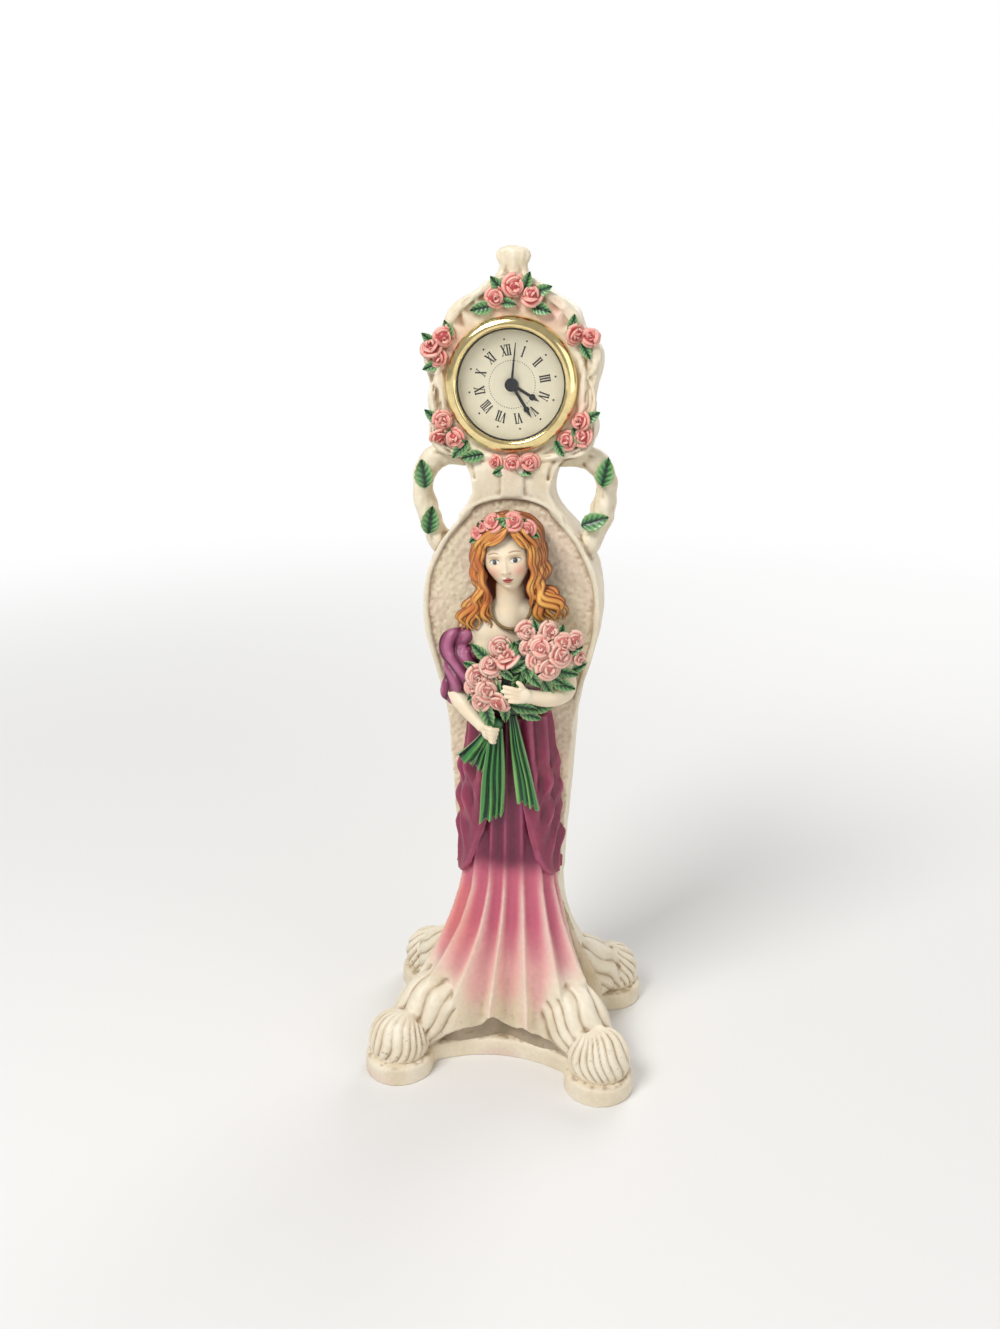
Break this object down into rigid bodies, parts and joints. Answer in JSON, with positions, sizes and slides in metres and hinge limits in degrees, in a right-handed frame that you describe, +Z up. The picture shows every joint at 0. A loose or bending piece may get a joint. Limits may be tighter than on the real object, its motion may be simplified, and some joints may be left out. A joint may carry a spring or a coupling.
{
  "type": "figural table clock",
  "caption": "Standing figural mantel clock: a lady with roses on a pawed foot under a handled, flower-ringed head that holds a round push-in dial insert.",
  "frame": {"origin": "under the middle of the plinth, on the surface that the clock stands on", "axes": "+Z up, the dial and the figure face -Y, +X to the right of a person who looks at the front"},
  "size_m": [0.1112, 0.0942, 0.3248],
  "materials": {
    "ivory_resin": "hand-painted ivory with brown wash",
    "stippled_resin": "rough stippled ivory",
    "dress_resin": "painted burgundy fading to rose and ivory",
    "burgundy_resin": "painted burgundy",
    "skin_resin": "painted skin",
    "hair_resin": "painted auburn with gold",
    "rose_resin": "painted salmon pink",
    "leaf_resin": "painted green",
    "gold_paint": "painted gold",
    "brass": "polished",
    "lens_glass": "clear",
    "dial_card": "printed matte cream",
    "black_plastic": "moulded",
    "grip_rubber": "ribbed",
    "white_plastic": "moulded",
    "board": "laminate",
    "iron": "stamped",
    "copper": "enamelled winding",
    "cell_steel": "bright",
    "hand_black": "satin black",
    "gear_brass": "cut"
  },
  "bodies": {
    "case": {"base_plinth": "ivory_resin", "front_left_paw": "ivory_resin", "front_right_paw": "ivory_resin", "rear_left_paw": "ivory_resin", "rear_right_paw": "ivory_resin", "front_haunches": "ivory_resin", "rear_haunches": "ivory_resin", "skirt": "dress_resin", "pedestal": "ivory_resin", "vase_panel": "stippled_resin", "clock_head": "ivory_resin", "finial": "ivory_resin", "left_handle": "ivory_resin", "right_handle": "ivory_resin", "handle_leaves": "leaf_resin", "overskirt_left": "burgundy_resin", "overskirt_right": "burgundy_resin", "torso": "skin_resin", "head": "skin_resin", "hair": "hair_resin", "left_arm": "skin_resin", "right_arm": "skin_resin", "sleeve_scarf": "burgundy_resin", "necklace": "gold_paint", "wreath_roses": "rose_resin", "wreath_leaves": "leaf_resin", "bouquet_roses": "rose_resin", "bouquet_leaves": "leaf_resin", "ribbon_left": "leaf_resin", "ribbon_right": "leaf_resin", "top_roses": "rose_resin", "upper_left_roses": "rose_resin", "upper_right_roses": "rose_resin", "lower_left_roses": "rose_resin", "lower_right_roses": "rose_resin", "bottom_roses": "rose_resin", "spray_leaves": "leaf_resin"},
    "insert": {"bezel": "brass", "lens": "lens_glass", "dial": "dial_card", "insert_cup": "black_plastic", "grip_ring": "grip_rubber", "front_plate": "white_plastic", "rear_plate": "white_plastic", "battery": "cell_steel", "battery_contacts": "cell_steel", "circuit_board": "board", "stator": "iron", "coil": "copper"},
    "hour_train": {"hour_wheel": "white_plastic", "hour_hand": "hand_black"},
    "minute_train": {"cannon_pinion": "gear_brass", "minute_hand": "hand_black"},
    "second_train": {"second_wheel": "white_plastic", "second_hand": "hand_black"},
    "motion_work": {"motion_wheel": "white_plastic"},
    "third_arbor": {"third_wheel": "white_plastic"},
    "step_arbor": {"step_wheel": "white_plastic"},
    "rotor_arbor": {"rotor": "iron"},
    "setting_stem": {"setting_knob": "black_plastic"}
  },
  "joints": [
    {"name": "insert_pull", "type": "slide", "parent": "case", "child": "insert", "axis": [0, -1, 0], "range_m": [0, 0.03]},
    {"name": "second_hand_turn", "type": "hinge", "parent": "insert", "child": "second_train", "pos_m": [0, 0.004, 0.2761], "axis": [0, 1, 0], "continuous": true},
    {"name": "minute_hand_turn", "type": "hinge", "parent": "insert", "child": "minute_train", "pos_m": [0, 0.004, 0.2761], "axis": [0, 1, 0], "continuous": true},
    {"name": "hour_hand_turn", "type": "hinge", "parent": "insert", "child": "hour_train", "pos_m": [0, 0.004, 0.2761], "axis": [0, 1, 0], "continuous": true},
    {"name": "motion_wheel_turn", "type": "hinge", "parent": "insert", "child": "motion_work", "pos_m": [0.00472, 0.004, 0.27445], "axis": [0, 1, 0], "continuous": true},
    {"name": "third_wheel_turn", "type": "hinge", "parent": "insert", "child": "third_arbor", "pos_m": [0.00107, 0.004, 0.27044], "axis": [0, 1, 0], "continuous": true},
    {"name": "step_wheel_turn", "type": "hinge", "parent": "insert", "child": "step_arbor", "pos_m": [0.00191, 0.004, 0.28155], "axis": [0, 1, 0], "continuous": true},
    {"name": "rotor_turn", "type": "hinge", "parent": "insert", "child": "rotor_arbor", "pos_m": [0.0031, 0.004, 0.28495], "axis": [0, 1, 0], "continuous": true},
    {"name": "setting_knob_turn", "type": "hinge", "parent": "insert", "child": "setting_stem", "pos_m": [0.01003, 0.004, 0.27259], "axis": [0, 1, 0], "continuous": true}
  ],
  "couplings": [
    {"joint": "minute_hand_turn", "follows": "second_hand_turn", "ratio": 0.016667},
    {"joint": "hour_hand_turn", "follows": "second_hand_turn", "ratio": 0.0013889},
    {"joint": "motion_wheel_turn", "follows": "second_hand_turn", "ratio": -0.0055556},
    {"joint": "third_wheel_turn", "follows": "second_hand_turn", "ratio": -0.13333},
    {"joint": "step_wheel_turn", "follows": "second_hand_turn", "ratio": -6},
    {"joint": "rotor_turn", "follows": "second_hand_turn", "ratio": 30},
    {"joint": "setting_knob_turn", "follows": "second_hand_turn", "ratio": 0.011111}
  ]
}
